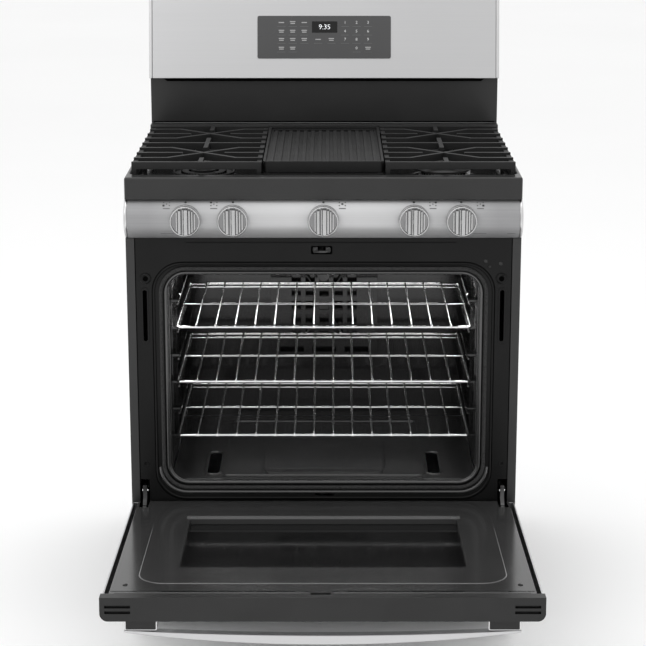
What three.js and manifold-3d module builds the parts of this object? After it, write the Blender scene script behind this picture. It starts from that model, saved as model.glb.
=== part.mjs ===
// Freestanding gas range with its oven door open. Millimetres, +X right, +Y towards the wall, +Z up.
// Y = 0 is the front plane of the cabinet while the pieces are built; the whole is centred at the end.
import * as THREE from 'three';
import { mergeVertices } from 'three/addons/utils/BufferGeometryUtils.js';
import Module from 'manifold-3d';

const wasm = await Module();
wasm.setup();

// ---------- driving sizes ----------
const WIDTH = 759;
const DEPTH = 640;
const HEIGHT = 1200;
const GAP = 0.3;
const SHEET = 1.5;
const HALF = WIDTH / 2;

// cabinet
const FLOOR_CLEARANCE = 30;
const CABINET_TOP = 877.5;
const TRIM = 16.5;
const FRAME_THICK = 3;
const FRAME_BOTTOM = 226;
const FRAME_TOP = 800;

// oven cavity
const OVEN_HALF = WIDTH / 2 - 76;
const OVEN_FLOOR = 303;
const OVEN_ROOF = 738;
const OPENING_BOTTOM = OVEN_FLOOR + 4;
const OPENING_TOP = OVEN_ROOF - 8;
const OPENING_RADIUS = 38;

// racks
const RACK_LEVELS = [395, 505.5, 616];
const GUIDE_STEP = (RACK_LEVELS[1] - RACK_LEVELS[0]) / 2;
const GUIDE_COUNT = 6;
const GUIDE_REACH = 22;
const RACK_SIDE_GAP = 13;
const RACK_FRONT = 25;
const RACK_DEPTH = 357;
const OVEN_BACK = RACK_FRONT + RACK_DEPTH + 63;
const RACK_WIRES = 14;
const WIRE = 2;
const RACK_BAR = 3;

// door: built closed about its pivot, then swung open
const PIVOT_Y = -21;
const PIVOT_Z = 258;
const DOOR_OPEN = 87.1;
const DOOR_INNER = 12.7;
const DOOR_THICK = 43;
const DOOR_OUTER = DOOR_INNER - DOOR_THICK;
const DOOR_BOTTOM = -15;
const DOOR_TOP = 541;
const CAP_HEIGHT = 21.7;
const DOOR_CORNER = 14;
const LINER_THICK = 12;
const LINER_HALF = HALF - 13.5;
const WINDOW_HALF = 255;
const WINDOW_LOW = 104;
const WINDOW_HIGH = 383.5;
const HINGE_X = HALF - 26.5;
const HINGE_POCKET = 18;
const HINGE_THICK = 8;

// handle
const HANDLE_HALF = 341;
const HANDLE_GAP = 24.1;
const HANDLE_INNER_BOW = 9.5;
const HANDLE_FACE = 18;
const HANDLE_BOW = 22;
const HANDLE_END_STAND = 29;
const HANDLE_CENTRE = 509;
const BRACKET_WIDTH = 54;

// control panel and knobs
const PANEL_BOTTOM = 802;
const PANEL_TOP = 876.5;
const PANEL_NOSE = 32;
const KNOB_Z = 841;
const KNOB_OUTER_X = 262;
const KNOB_INNER_X = 172;
const KNOB_RADIUS = 29;
const KNOB_DEPTH = 18;
const BEZEL_RADIUS = 29.5;
const KNOB_PUSH = 3;
const STEM_RADIUS = 4;

// cooktop
const TOP_FRONT = -16;
const TOP_LOW = 878;
const TOP_RIM = 920;
const TOP_DECK = 894;
const LEDGE_TOP = 934;
const LEDGE_FRONT = 546;
const WELL_FRONT = 18;
const WELL_HALF = HALF - 9.5;
const BURNER_X = 236;
const BURNER_FRONT_Y = 135;
const BURNER_REAR_Y = 367;
const BURNER_CENTRE_Y = 245;

// grates and griddle
const GRATE_TOP = 943;
const GRATE_BAR = 9;
const GRATE_DEPTH = 14;
const GRATE_INNER_X = 119;
const GRATE_OUTER_X = HALF - 12;
const GRATE_FRONT = 24;
const GRATE_BACK = 470;
const GRIDDLE_HALF = 116;
const GRIDDLE_FRONT = 33;
const GRIDDLE_BACK = 458;
const GRIDDLE_BASE = 921;
const GRIDDLE_FACE = 939.5;
const GRIDDLE_RIBS = 14;
const RIB_PITCH = 15.4;

// backguard
const SPLASH_Y = 570;
const GUARD_LOW = 1033;
const GUARD_LOW_Y = 556;
const GUARD_TOP_Y = 591;
const KEYPAD_HALF = 144.5;
const KEYPAD_LOW = 1075;
const KEYPAD_HIGH = 1165;

// drawer
const DRAWER_TOP = PIVOT_Z + DOOR_OUTER - 5.7;
const DRAWER_LOW = 38;
const DRAWER_FACE = -46;
const DRAWER_THICK = 36;
const TRAY_HALF = 338;
const TRAY_DEPTH = 560;
const TRAY_TOP = 190;
const RAIL_TOP = 110;

// ---------- solids ----------
function asSolid(geometry) {
  const plain = geometry.clone();
  plain.deleteAttribute('normal');
  plain.deleteAttribute('uv');
  const merged = mergeVertices(plain, 1e-4);
  const index = merged.index.array;
  const kept = [];
  for (let i = 0; i < index.length; i += 3) {
    const [a, b, c] = [index[i], index[i + 1], index[i + 2]];
    if (a !== b && b !== c && a !== c) kept.push(a, b, c);
  }
  const make = (corners) => new wasm.Manifold(new wasm.Mesh({
    numProp: 3,
    vertProperties: new Float32Array(merged.attributes.position.array),
    triVerts: new Uint32Array(corners),
  }));
  const first = make(kept);
  if (first.volume() > 0) return first;
  const turned = [];
  for (let i = 0; i < kept.length; i += 3) turned.push(kept[i], kept[i + 2], kept[i + 1]);
  return make(turned);
}

const join = (...pieces) => pieces.flat().reduce((whole, piece) => whole.add(piece));
const cut = (whole, ...pieces) => pieces.flat().reduce((rest, piece) => rest.subtract(piece), whole);

function block(x0, x1, y0, y1, z0, z1) {
  const shape = new THREE.BoxGeometry(x1 - x0, y1 - y0, z1 - z0);
  return asSolid(shape.translate((x0 + x1) / 2, (y0 + y1) / 2, (z0 + z1) / 2));
}

// a block between two heights, measured along a line on the ground plane
function beam(ax, ay, bx, by, width, z0, z1) {
  const length = Math.hypot(bx - ax, by - ay);
  const shape = new THREE.BoxGeometry(length, width, z1 - z0);
  shape.rotateZ(Math.atan2(by - ay, bx - ax));
  return asSolid(shape.translate((ax + bx) / 2, (ay + by) / 2, (z0 + z1) / 2));
}

function rod(from, to, radius, sides = 6) {
  const a = new THREE.Vector3(...from);
  const b = new THREE.Vector3(...to);
  const along = b.clone().sub(a);
  const shape = new THREE.CylinderGeometry(radius, radius, along.length(), sides);
  const turn = new THREE.Quaternion().setFromUnitVectors(new THREE.Vector3(0, 1, 0), along.normalize());
  shape.applyQuaternion(turn);
  return asSolid(shape.translate((a.x + b.x) / 2, (a.y + b.y) / 2, (a.z + b.z) / 2));
}

function outline(points) {
  return new THREE.Shape(points.map(([a, b]) => new THREE.Vector2(a, b)));
}

function roundedOutline(a0, a1, b0, b1, radius) {
  const shape = new THREE.Shape();
  shape.moveTo(a0 + radius, b0);
  shape.lineTo(a1 - radius, b0);
  shape.absarc(a1 - radius, b0 + radius, radius, -Math.PI / 2, 0, false);
  shape.absarc(a1 - radius, b1 - radius, radius, 0, Math.PI / 2, false);
  shape.absarc(a0 + radius, b1 - radius, radius, Math.PI / 2, Math.PI, false);
  shape.absarc(a0 + radius, b0 + radius, radius, Math.PI, Math.PI * 1.5, false);
  return shape;
}

function extruded(shape, depth, curveSegments) {
  return new THREE.ExtrudeGeometry(shape, { depth, bevelEnabled: false, curveSegments });
}

// outline in X and Z, with thickness in Y
function upright(shape, y0, y1, curveSegments = 5) {
  return asSolid(extruded(shape, y1 - y0, curveSegments).rotateX(Math.PI / 2).translate(0, y1, 0));
}

// outline in X and Y, with thickness in Z
function flat(shape, z0, z1, curveSegments = 5) {
  return asSolid(extruded(shape, z1 - z0, curveSegments).translate(0, 0, z0));
}

// outline in Y and Z, run along X
function along(shape, x0, x1, curveSegments = 5) {
  const basis = new THREE.Matrix4().makeBasis(
    new THREE.Vector3(0, 1, 0),
    new THREE.Vector3(0, 0, 1),
    new THREE.Vector3(1, 0, 0),
  );
  return asSolid(extruded(shape, x1 - x0, curveSegments).applyMatrix4(basis).translate(x0, 0, 0));
}

// profile of radius and height, turned about an upright axis
function turned(profile, x, y, sides = 28, stretch = 1) {
  const shape = new THREE.LatheGeometry(profile.map(([r, h]) => new THREE.Vector2(r, h)), sides);
  return asSolid(shape.rotateX(Math.PI / 2).scale(1, stretch, 1).translate(x, y, 0));
}

const group = new THREE.Group();

function finish(color, roughness, metalness, extra = {}) {
  return () => new THREE.MeshStandardMaterial({ color, roughness, metalness, ...extra });
}

const looks = {
  stainless: finish(0xc9c9c9, 0.32, 1.0),
  enamel: finish(0x2e2e2e, 0.28, 0.0),
  cooktop: finish(0x343434, 0.35, 0.0),
  cavity: finish(0x141414, 0.35, 0.0),
  iron: finish(0x232323, 0.75, 0.1),
  chrome: finish(0xdadada, 0.15, 1.0),
  aluminium: finish(0xb4b4b2, 0.4, 1.0),
  galvanised: finish(0x9a9c9d, 0.5, 0.9),
  painted: finish(0x2b2b2b, 0.5, 0.1),
  trim: finish(0x3a3a3a, 0.45, 0.1),
  glass: finish(0x0d0d0d, 0.05, 0.0),
  keypad: finish(0x4a4a4a, 0.12, 0.0),
  rope: finish(0x1b1b1b, 0.95, 0.0),
  plastic: finish(0x1c1c1c, 0.6, 0.0),
};

function place(name, solid, look) {
  const made = solid.getMesh();
  const geometry = new THREE.BufferGeometry();
  geometry.setAttribute('position', new THREE.BufferAttribute(new Float32Array(made.vertProperties), 3));
  geometry.setIndex(new THREE.BufferAttribute(new Uint32Array(made.triVerts), 1));
  geometry.computeVertexNormals();
  const mesh = new THREE.Mesh(geometry, look());
  mesh.name = name;
  group.add(mesh);
}

const SIDES = [['left', -1], ['right', 1]];

// a block mirrored to the chosen side of the range, given by distances from the centre line
function sideBlock(side, inner, outer, y0, y1, z0, z1) {
  const [x0, x1] = side < 0 ? [-outer, -inner] : [inner, outer];
  return block(x0, x1, y0, y1, z0, z1);
}

// ---------- cabinet ----------
const sideRear = DEPTH - SHEET - GAP;
for (const [name, side] of SIDES) {
  place(`side_panel_${name}`, join(
    sideBlock(side, HALF - SHEET, HALF, -2, sideRear, FLOOR_CLEARANCE, CABINET_TOP),
    sideBlock(side, HALF - TRIM, HALF, -2, 0, FRAME_BOTTOM, FRAME_TOP),
    sideBlock(side, HALF - TRIM, HALF, sideRear - SHEET, sideRear, FLOOR_CLEARANCE, CABINET_TOP),
    sideBlock(side, HALF - 30, HALF, 20, sideRear, FLOOR_CLEARANCE, FLOOR_CLEARANCE + SHEET),
    sideBlock(side, TRAY_HALF + 4, HALF, 20, 600, RAIL_TOP - 14, RAIL_TOP),
  ), looks.painted);
}

const footX = HALF - 15;
for (const [name, side] of SIDES) {
  for (const [row, y] of [['front', 70], ['rear', DEPTH - 50]]) {
    place(`foot_${row}_${name}`, turned([
      [0, 0], [13, 0], [14, 2], [14, 9], [6, 12], [5, 12],
      [5, FLOOR_CLEARANCE - GAP], [0, FLOOR_CLEARANCE - GAP],
    ], side * footX, y, 16), looks.plastic);
  }
}

const rearSlots = [];
for (let row = 0; row < 6; row += 1) {
  for (const x of [-210, 0, 210]) {
    const z = 700 + row * 26;
    rearSlots.push(block(x - 70, x + 70, DEPTH - 10, DEPTH + 10, z, z + 8));
  }
}
place('rear_panel', cut(
  block(-HALF + 3, HALF - 3, DEPTH - SHEET, DEPTH, 60, CABINET_TOP),
  rearSlots,
  block(-HALF + 60, -HALF + 220, DEPTH - 10, DEPTH + 10, 50, 150),
), looks.galvanised);

// ---------- front frame ----------
const frameHalf = HALF - TRIM - GAP;
const latchX = -3.5;
const latchZ = 776;
const frameCuts = [
  upright(roundedOutline(-OVEN_HALF, OVEN_HALF, OPENING_BOTTOM, OPENING_TOP, OPENING_RADIUS), -9, 9),
  block(latchX - 18.5, latchX + 18.5, -9, 9, latchZ - 6, latchZ + 6),
  block(-17, 20, -9, 9, 277, 283),
];
const frameRaised = [];
for (const [, side] of SIDES) {
  const slotX = side * 345;
  frameCuts.push(upright(roundedOutline(slotX - 4, slotX + 4, 595, 697, 3.9), -9, 9, 3));
  frameCuts.push(block(side * HINGE_X - 9, side * HINGE_X + 9, -9, 9, 244, 312));
  frameRaised.push(rod([side * 343, 1, 720], [side * 343, -2, 720], 10, 16));
}
place('front_frame', cut(join(
  block(-frameHalf, frameHalf, 0, FRAME_THICK, FRAME_BOTTOM, FRAME_TOP),
  frameRaised,
), frameCuts), looks.enamel);

const gasketIn = OVEN_HALF + 6;
const gasketOut = OVEN_HALF + 15;
const doorGap = -(PIVOT_Y + DOOR_INNER);
const gasketShape = roundedOutline(
  -gasketOut, gasketOut, OPENING_BOTTOM - 15, OPENING_TOP + 15, OPENING_RADIUS + 15,
);
gasketShape.holes.push(roundedOutline(
  -gasketIn, gasketIn, OPENING_BOTTOM - 6, OPENING_TOP + 6, OPENING_RADIUS + 6,
));
place('door_gasket', upright(gasketShape, GAP - doorGap, -GAP), looks.rope);

// latch hook reaches out through the slot above the opening and turns about an upright pin
const latchPinY = 28;
place('latch_hook', join(
  block(latchX - 6, latchX + 2, -15, latchPinY, latchZ - 2, latchZ + 2),
  block(latchX - 6, latchX + 8, -15, -11, latchZ - 2, latchZ + 2),
  rod([latchX, latchPinY, latchZ - 8], [latchX, latchPinY, latchZ + 8], 8, 16),
), looks.chrome);

// hinge arms: an eye on the door's pivot and a claw through the frame slot
for (const [name, side] of SIDES) {
  const x0 = side * HINGE_X - HINGE_THICK / 2;
  const x1 = side * HINGE_X + HINGE_THICK / 2;
  place(`hinge_arm_${name}`, join(
    rod([x0, PIVOT_Y, PIVOT_Z], [x1, PIVOT_Y, PIVOT_Z], 7, 16),
    along(outline([
      [PIVOT_Y, PIVOT_Z - 6], [40, 250], [40, 298], [10, 304], [-5, 300], [-6, 276], [PIVOT_Y, PIVOT_Z + 6],
    ]), x0, x1),
  ), looks.aluminium);
}

// ---------- oven cavity ----------
const wallFront = FRAME_THICK + GAP;
const wallRear = OVEN_BACK + SHEET;
const guideTops = [];
for (let step = 0; step < GUIDE_COUNT; step += 1) {
  guideTops.push(RACK_LEVELS[0] + step * GUIDE_STEP - RACK_BAR - GAP);
}
for (const [name, side] of SIDES) {
  const inner = OVEN_HALF - GUIDE_REACH;
  const ribs = guideTops.map((top) => sideBlock(side, inner, OVEN_HALF + 1, 40, 415, top - 5, top));
  const posts = [70, 385].map((y) => sideBlock(
    side, OVEN_HALF - 5, OVEN_HALF + 1, y - 8, y + 8, guideTops[0] - 40, guideTops[GUIDE_COUNT - 1] + 30,
  ));
  place(`oven_wall_${name}`, join(
    sideBlock(side, OVEN_HALF, OVEN_HALF + SHEET, wallFront, wallRear, OVEN_FLOOR, OVEN_ROOF),
    ribs,
    posts,
  ), looks.cavity);
}
place('oven_roof', block(
  -OVEN_HALF - SHEET, OVEN_HALF + SHEET, wallFront, wallRear, OVEN_ROOF + GAP, OVEN_ROOF + GAP + SHEET,
), looks.cavity);

const floorHalf = OVEN_HALF - GAP;
const floorSlots = SIDES.map(([, side]) => flat(
  roundedOutline(side * 222 - 12, side * 222 + 12, 60, 190, 11.9), OVEN_FLOOR - 9, OVEN_FLOOR + 9, 4,
));
place('oven_floor', cut(join(
  block(-floorHalf, floorHalf, wallFront, OVEN_BACK - GAP, OVEN_FLOOR - SHEET, OVEN_FLOOR),
  flat(roundedOutline(-120, 120, 60, 330, 20), OVEN_FLOOR - 1, OVEN_FLOOR + 2),
  block(-200, 200, 20, 26, OVEN_FLOOR - 1, OVEN_FLOOR + 4),
), floorSlots), looks.cavity);

const fanZ = 560;
place('oven_back', cut(
  block(-floorHalf, floorHalf, OVEN_BACK, wallRear, OVEN_FLOOR + GAP, OVEN_ROOF),
  rod([0, OVEN_BACK - 9, fanZ], [0, wallRear + 9, fanZ], 7, 12),
), looks.cavity);

// fan cover: a shallow pan with a grid of openings, and a row of slots below
const coverHalf = 115;
const coverDepth = 26;
const coverFront = OVEN_BACK - GAP - coverDepth;
const coverHoles = [];
for (let row = -2; row <= 2; row += 1) {
  for (let column = -2; column <= 2; column += 1) {
    const x = column * 30;
    const z = fanZ + row * 30;
    coverHoles.push(block(x - 10, x + 10, coverFront - 5, coverFront + 5, z - 10, z + 10));
  }
}
for (const x of [-70, 0, 70]) {
  coverHoles.push(block(x - 26, x + 26, coverFront - 5, coverFront + 5, fanZ - 104, fanZ - 92));
}
place('fan_cover', cut(
  upright(roundedOutline(-coverHalf, coverHalf, fanZ - coverHalf, fanZ + coverHalf, 24),
    coverFront, OVEN_BACK - GAP),
  block(-coverHalf + 2, coverHalf - 2, coverFront + 2, OVEN_BACK + 1,
    fanZ - coverHalf + 2, fanZ + coverHalf - 2).intersect(
    upright(roundedOutline(-coverHalf + 2, coverHalf - 2, fanZ - coverHalf + 2, fanZ + coverHalf - 2, 22),
      coverFront + 2, OVEN_BACK + 1)),
  coverHoles,
), looks.cavity);

const fanBlades = [];
for (let blade = 0; blade < 6; blade += 1) {
  const turn = (blade * Math.PI) / 3;
  const shape = new THREE.BoxGeometry(60, 14, 2).translate(48, 0, 0).rotateY(turn);
  fanBlades.push(asSolid(shape.translate(0, coverFront + 13, fanZ)));
}
place('fan', join(
  rod([0, coverFront + 5, fanZ], [0, coverFront + 21, fanZ], 22, 16),
  rod([0, coverFront + 5, fanZ], [0, wallRear + 30, fanZ], 4, 12),
  fanBlades,
), looks.aluminium);

place('broil_burner', join(
  rod([0, 40, OVEN_ROOF - 22], [0, 400, OVEN_ROOF - 22], 12, 12),
  block(-110, 110, 60, 380, OVEN_ROOF - 14, OVEN_ROOF - 12),
  block(-6, 6, 60, 380, OVEN_ROOF - 22, OVEN_ROOF - 13),
), looks.galvanised);

// racks of chromed wire
const rackHalf = OVEN_HALF - RACK_SIDE_GAP - RACK_BAR;
const wirePitch = (2 * rackHalf) / (RACK_WIRES + 1);
for (const [name, level] of [['lower', 0], ['middle', 1], ['upper', 2]]) {
  const z = RACK_LEVELS[level];
  const rackBack = RACK_FRONT + RACK_DEPTH;
  const bars = [RACK_FRONT, RACK_FRONT + RACK_DEPTH * 0.52, rackBack].map(
    (y) => rod([-rackHalf, y, z], [rackHalf, y, z], RACK_BAR),
  );
  for (const [, side] of SIDES) {
    const x = side * rackHalf;
    bars.push(rod([x, RACK_FRONT - RACK_BAR, z], [x, rackBack + RACK_BAR, z], RACK_BAR));
  }
  for (let wire = 0; wire < RACK_WIRES; wire += 1) {
    const x = -rackHalf + (wire + 1) * wirePitch;
    const high = z + RACK_BAR - 0.5;
    bars.push(rod([x, RACK_FRONT - 5, high], [x, rackBack + 5, high], WIRE));
  }
  place(`rack_${name}`, join(bars), looks.chrome);
}

// ---------- door ----------
function doorSolid(solid) {
  const swing = new THREE.Matrix4().makeTranslation(0, PIVOT_Y, PIVOT_Z).multiply(
    new THREE.Matrix4().makeRotationX(THREE.MathUtils.degToRad(DOOR_OPEN)),
  );
  return solid.transform(swing.elements);
}

const capLow = DOOR_TOP - CAP_HEIGHT;
const linerHigh = capLow - GAP;
const linerLow = DOOR_BOTTOM + SHEET + GAP;
const linerBack = DOOR_INNER - LINER_THICK;
const latchHole = block(latchX - 17, latchX + 17, -5, DOOR_INNER + 2, linerHigh - 7, capLow + 6);
const pockets = SIDES.map(([, side]) => block(
  side * HINGE_X - HINGE_POCKET / 2, side * HINGE_X + HINGE_POCKET / 2, -12, 30, DOOR_BOTTOM - 2, 26,
));
const linerHollow = cut(
  block(-LINER_HALF + 8, LINER_HALF - 8, linerBack - 1, DOOR_INNER - 3, linerLow + 45, linerHigh - 10),
  block(
    -WINDOW_HALF - 9, WINDOW_HALF + 9, linerBack - 2, DOOR_INNER, WINDOW_LOW - 9, WINDOW_HIGH + 9,
  ),
);
place('door_inner_panel', doorSolid(cut(join(
  upright(roundedOutline(-LINER_HALF, LINER_HALF, linerLow, linerHigh, 10), linerBack, DOOR_INNER - 1),
  upright(roundedOutline(-323, 323, 40, 469, 48), linerBack, DOOR_INNER),
),
upright(roundedOutline(-WINDOW_HALF, WINDOW_HALF, WINDOW_LOW, WINDOW_HIGH, 6), -9, DOOR_INNER + 9, 3),
linerHollow,
latchHole,
pockets)), looks.enamel);

place('door_window_pane', doorSolid(block(
  -WINDOW_HALF - 9, WINDOW_HALF + 9, linerBack - GAP - 4, linerBack - GAP, WINDOW_LOW - 9, WINDOW_HIGH + 9,
)), looks.glass);

const skinHalf = HALF - 2.5;
const pan = (half, inset, front, rear, radius) => {
  const shape = new THREE.Shape();
  shape.moveTo(-half + inset, rear);
  shape.lineTo(-half + inset, front + radius);
  shape.absarc(-half + radius, front + radius, radius - inset, Math.PI, Math.PI * 1.5, false);
  shape.lineTo(half - radius, front + inset);
  shape.absarc(half - radius, front + radius, radius - inset, Math.PI * 1.5, Math.PI * 2, false);
  shape.lineTo(half - inset, rear);
  return shape;
};
place('door_outer_skin', doorSolid(cut(
  flat(pan(skinHalf, 0, DOOR_OUTER, DOOR_INNER - 4, DOOR_CORNER), DOOR_BOTTOM, linerHigh),
  flat(pan(skinHalf, SHEET, DOOR_OUTER, DOOR_INNER, DOOR_CORNER), DOOR_BOTTOM + SHEET, DOOR_TOP),
  pockets,
)), looks.stainless);

const capVents = [];
for (const [, side] of SIDES) {
  for (const y of [DOOR_INNER - 17, DOOR_INNER - 27]) {
    const [x0, x1] = side < 0 ? [-371, -327] : [327, 371];
    capVents.push(block(x0, x1, y - 2.5, y + 2.5, DOOR_TOP - 8, DOOR_TOP + 5));
  }
}
place('door_top_cap', doorSolid(cut(
  flat(pan(HALF, 0, DOOR_OUTER, DOOR_INNER - 0.5, DOOR_CORNER), capLow, DOOR_TOP),
  block(
    -HALF + 60, HALF - 60, DOOR_OUTER + 2, linerBack - 8, capLow - 1, DOOR_TOP - 2,
  ),
  latchHole,
  capVents,
)), looks.trim);

// handle: a bowed bar carried by a bracket at each end
function bow(x, start) {
  return start - HANDLE_BOW * (1 - (x / HANDLE_HALF) ** 2);
}
const barOuter = DOOR_OUTER - HANDLE_END_STAND;
const handleShape = [];
for (let step = 0; step <= 16; step += 1) {
  const x = -HANDLE_HALF + (step / 16) * 2 * HANDLE_HALF;
  handleShape.push([x, bow(x, barOuter)]);
}
for (let step = 16; step >= 0; step -= 1) {
  const x = -HANDLE_HALF + (step / 16) * 2 * HANDLE_HALF;
  handleShape.push([x, DOOR_OUTER - HANDLE_GAP - HANDLE_INNER_BOW * (1 - (x / HANDLE_HALF) ** 2)]);
}
const handleLow = HANDLE_CENTRE - HANDLE_FACE / 2;
const handleHigh = HANDLE_CENTRE + HANDLE_FACE / 2;
const brackets = SIDES.map(([, side]) => {
  const x0 = side * (HANDLE_HALF - 2 - BRACKET_WIDTH);
  const x1 = side * (HANDLE_HALF - 2);
  return block(Math.min(x0, x1), Math.max(x0, x1), DOOR_OUTER - HANDLE_GAP - 3.9, DOOR_OUTER - GAP,
    handleLow + 1, handleHigh - 1);
});
place('door_handle', doorSolid(join(flat(outline(handleShape), handleLow, handleHigh), brackets)),
  looks.stainless);

// ---------- drawer ----------
place('drawer_front', cut(
  upright(
    roundedOutline(-skinHalf, skinHalf, DRAWER_LOW, DRAWER_TOP, 3),
    DRAWER_FACE, DRAWER_FACE + DRAWER_THICK, 2,
  ),
  block(
    -skinHalf + SHEET, skinHalf - SHEET, DRAWER_FACE + SHEET, DRAWER_FACE + DRAWER_THICK + 1,
    DRAWER_LOW + SHEET, DRAWER_TOP - SHEET,
  ),
), looks.stainless);
const trayFront = DRAWER_FACE + DRAWER_THICK + GAP;
place('drawer_tray', join(cut(
  block(-TRAY_HALF, TRAY_HALF, trayFront, trayFront + TRAY_DEPTH, DRAWER_LOW + 10, TRAY_TOP),
  block(-TRAY_HALF + SHEET, TRAY_HALF - SHEET, trayFront + SHEET, trayFront + TRAY_DEPTH - SHEET,
    DRAWER_LOW + 10 + SHEET, TRAY_TOP + 1),
), SIDES.map(([, side]) => sideBlock(
  side, TRAY_HALF - 1, TRAY_HALF + 14, trayFront + 30, trayFront + TRAY_DEPTH, RAIL_TOP + GAP, RAIL_TOP + 3,
))), looks.galvanised);

// ---------- control panel ----------
const panelMid = (PANEL_BOTTOM + PANEL_TOP) / 2;
function panelProfile(inset) {
  const half = (PANEL_TOP - PANEL_BOTTOM) / 2 - inset;
  const points = [];
  for (let step = 0; step <= 8; step += 1) {
    const t = -1 + step / 4;
    const nose = 8 + (PANEL_NOSE - 8) * (1 - Math.abs(t) ** 2.6);
    points.push([-nose + inset, panelMid - t * half]);
  }
  return points;
}
const panelBack = -4;
const panelOuter = outline([[panelBack, PANEL_TOP], ...panelProfile(0),
  [panelBack, PANEL_BOTTOM]]);
const panelInner = outline([[panelBack + 9, PANEL_TOP - 2], ...panelProfile(2),
  [panelBack + 9, PANEL_BOTTOM + 2]]);
const KNOBS = [
  ['left_front', -KNOB_OUTER_X], ['left_rear', -KNOB_INNER_X], ['centre', 0],
  ['right_rear', KNOB_INNER_X], ['right_front', KNOB_OUTER_X],
];
const bezelFront = -PANEL_NOSE - 2.5;
place('control_panel', cut(join(
  cut(along(panelOuter, -HALF, HALF), along(panelInner, -HALF + 4, HALF - 4)),
  KNOBS.map(([, x]) => rod([x, bezelFront, KNOB_Z], [x, -PANEL_NOSE + 5, KNOB_Z], BEZEL_RADIUS, 24)),
), KNOBS.map(([, x]) => rod([x, -60, KNOB_Z], [x, 0, KNOB_Z], STEM_RADIUS + 1, 12))), looks.stainless);

const knobBack = bezelFront - KNOB_PUSH - 0.5;
const knobFace = knobBack - KNOB_DEPTH;
const stemTip = knobBack - 12;
const valveFront = 16;
for (const [name, x] of KNOBS) {
  const disc = rod([x, knobBack, KNOB_Z], [x, knobBack - 7, KNOB_Z], KNOB_RADIUS, 28);
  const grip = block(x - 9, x + 9, knobFace, knobBack - 6, KNOB_Z - 27, KNOB_Z + 27).intersect(
    rod([x, knobBack, KNOB_Z], [x, knobFace - 1, KNOB_Z], KNOB_RADIUS - 4.5, 28),
  );
  const ribs = [-13, 13].map((offset) => block(
    x + offset - 2, x + offset + 2, knobBack - 12, knobBack - 6, KNOB_Z - 18, KNOB_Z + 18,
  ));
  place(`knob_${name}`, cut(
    join(disc, grip, ribs),
    rod([x, knobBack + 1, KNOB_Z], [x, stemTip - 1, KNOB_Z], STEM_RADIUS + GAP, 12),
  ), looks.stainless);
  place(`valve_stem_${name}`, join(
    rod([x, stemTip, KNOB_Z], [x, valveFront + 18, KNOB_Z], STEM_RADIUS, 12),
    rod([x, -6, KNOB_Z], [x, 4, KNOB_Z], 9, 12),
  ), looks.aluminium);
}
place('gas_manifold', cut(join(
  rod([-335, valveFront + 46, KNOB_Z - 6], [335, valveFront + 46, KNOB_Z - 6], 11, 12),
  KNOBS.map(([, x]) => block(x - 15, x + 15, valveFront, valveFront + 50, KNOB_Z - 18, KNOB_Z + 18)),
), KNOBS.map(([, x]) => rod(
  [x, valveFront - 5, KNOB_Z], [x, valveFront + 18 + KNOB_PUSH + 2, KNOB_Z], STEM_RADIUS + 0.6, 12,
))), looks.galvanised);

// ---------- cooktop ----------
const topHalf = HALF - 0.8;
const topRear = DEPTH - 2;
place('cooktop', cut(join(
  along(outline([
    [TOP_FRONT, TOP_LOW], [TOP_FRONT, TOP_RIM - 5], [TOP_FRONT + 5, TOP_RIM],
    [topRear, TOP_RIM], [topRear, TOP_LOW],
  ]), -topHalf, topHalf),
  block(-topHalf, topHalf, LEDGE_FRONT, topRear, TOP_RIM - 1, LEDGE_TOP),
),
block(-WELL_HALF, WELL_HALF, WELL_FRONT, LEDGE_FRONT - 12, TOP_DECK, LEDGE_TOP + 1),
block(-topHalf + 2, topHalf - 2, TOP_FRONT + 2, topRear - 2, TOP_LOW - 1, TOP_DECK - 2),
block(-topHalf + 2, topHalf - 2, TOP_FRONT + 2, WELL_FRONT - 2, TOP_DECK - 3, TOP_RIM - 6),
block(-topHalf + 2, topHalf - 2, LEDGE_FRONT - 10, LEDGE_FRONT + 3, TOP_DECK - 3, TOP_RIM - 2),
block(-topHalf + 2, topHalf - 2, LEDGE_FRONT + 2, topRear - 2, TOP_DECK - 3, LEDGE_TOP - 2)),
looks.cooktop);

const deck = TOP_DECK + GAP;
place('burner_left_front', turned([
  [0, deck], [50, deck], [61, 903], [61, 907], [57, 907], [55, 902], [44, 902], [42, 908],
  [30, 908], [28, 902], [20, 902], [18, 906], [0, 906],
], -BURNER_X, BURNER_FRONT_Y), looks.iron);
place('cap_left_front', turned([
  [0, 906.3], [17, 906.3], [17, 908.5], [27, 908.5], [27, 911], [24, 913], [0, 913],
], -BURNER_X, BURNER_FRONT_Y, 24), looks.iron);
place('burner_right_front', turned([
  [0, deck], [50, deck], [50, 897], [43, 899], [43, 908], [0, 908],
], BURNER_X, BURNER_FRONT_Y), looks.aluminium);
place('cap_right_front', turned([
  [0, 908.3], [53, 908.3], [53.5, 912], [50, 915], [0, 916],
], BURNER_X, BURNER_FRONT_Y), looks.iron);
for (const [name, side] of SIDES) {
  place(`burner_${name}_rear`, turned([
    [0, deck], [42, deck], [42, 897], [33, 899], [33, 910], [0, 910],
  ], side * BURNER_X, BURNER_REAR_Y, 24), looks.aluminium);
  place(`cap_${name}_rear`, turned([
    [0, 910.3], [36, 910.3], [36.5, 914], [34, 917], [0, 918],
  ], side * BURNER_X, BURNER_REAR_Y, 24), looks.iron);
}
place('burner_centre', turned([
  [0, deck], [42, deck], [42, 896], [36, 898], [36, 900], [0, 900],
], 0, BURNER_CENTRE_Y, 24, 2), looks.aluminium);
place('cap_centre', turned([
  [0, 900.3], [39, 900.3], [39.5, 902], [37, 903.5], [0, 903.5],
], 0, BURNER_CENTRE_Y, 24, 2), looks.iron);

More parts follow.
